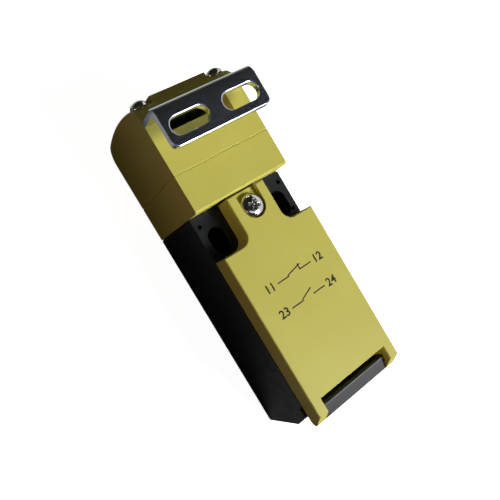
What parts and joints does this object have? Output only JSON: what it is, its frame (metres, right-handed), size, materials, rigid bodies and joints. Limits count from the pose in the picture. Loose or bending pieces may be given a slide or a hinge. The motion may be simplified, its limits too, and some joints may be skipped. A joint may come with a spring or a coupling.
{
  "type": "tongue interlock switch",
  "caption": "Compact safety position switch: black housing, yellow hinged cover and head with a key slot, and a separate bent actuator key that turns a cam wheel.",
  "frame": {"origin": "middle of the two fixing holes, on the back face that is bolted to the machine frame", "axes": "+Z out of the back face towards the cover, +Y along the housing towards the head with the key slot, +X to the right seen from the cover side with the head up"},
  "size_m": [0.031, 0.097, 0.0423],
  "materials": {
    "black_plastic": "fine moulded grain",
    "yellow_plastic": "satin",
    "plated_steel": "bright zinc plate",
    "screw_steel": "nickel plate",
    "wheel_zinc": "die-cast",
    "white_plastic": "smooth",
    "grey_plastic": "smooth",
    "contact_brass": "tin plate worn",
    "contact_silver": "silver",
    "spring_steel": "drawn wire",
    "seal_rubber": "soft"
  },
  "bodies": {
    "housing": {"base_housing": "black_plastic", "screw_insert": "contact_brass", "plunger_seal": "seal_rubber", "head_collar": "yellow_plastic", "head_shell": "yellow_plastic", "head_screws": "screw_steel", "collar_screws": "screw_steel", "cam_axle": "screw_steel", "plunger_spring": "spring_steel", "contact_block": "grey_plastic", "terminal_plates": "contact_brass", "fixed_tips": "contact_silver", "terminal_screws": "screw_steel", "clamp_washers": "screw_steel", "block_screws": "screw_steel"},
    "key": {"actuator_key": "plated_steel"},
    "wheel": {"cam_wheel": "wheel_zinc"},
    "plunger": {"head_plunger": "white_plastic", "contact_carrier": "white_plastic", "contact_bridges": "contact_brass", "moving_tips": "contact_silver", "contact_springs": "spring_steel"},
    "cover": {"cover": "yellow_plastic", "cover_gasket": "seal_rubber"},
    "screw": {"cover_screw": "screw_steel"}
  },
  "joints": [
    {"name": "key_slide", "type": "slide", "parent": "housing", "child": "key", "axis": [0, 0, 1], "range_m": [0, 0.014]},
    {"name": "wheel_turn", "type": "hinge", "parent": "housing", "child": "wheel", "pos_m": [0, 0.0247, 0.0145], "axis": [1, 0, 0], "range_deg": [0, 70]},
    {"name": "plunger_slide", "type": "slide", "parent": "housing", "child": "plunger", "axis": [0, -1, 0], "range_m": [0, 0.0035], "stiffness_N_per_m": 200, "springref_m": -0.004, "deforming": ["plunger_spring"]},
    {"name": "cover_hinge", "type": "hinge", "parent": "housing", "child": "cover", "pos_m": [0, -0.0522, 0.029], "axis": [1, 0, 0], "range_deg": [0, 120]},
    {"name": "cover_screw_out", "type": "slide", "parent": "cover", "child": "screw", "axis": [0, 0, 1], "range_m": [0, 0.004]}
  ],
  "couplings": [
    {"joint": "wheel_turn", "follows": "key_slide", "rad_per_m": 87.266},
    {"joint": "plunger_slide", "follows": "key_slide", "ratio": 0.25}
  ]
}
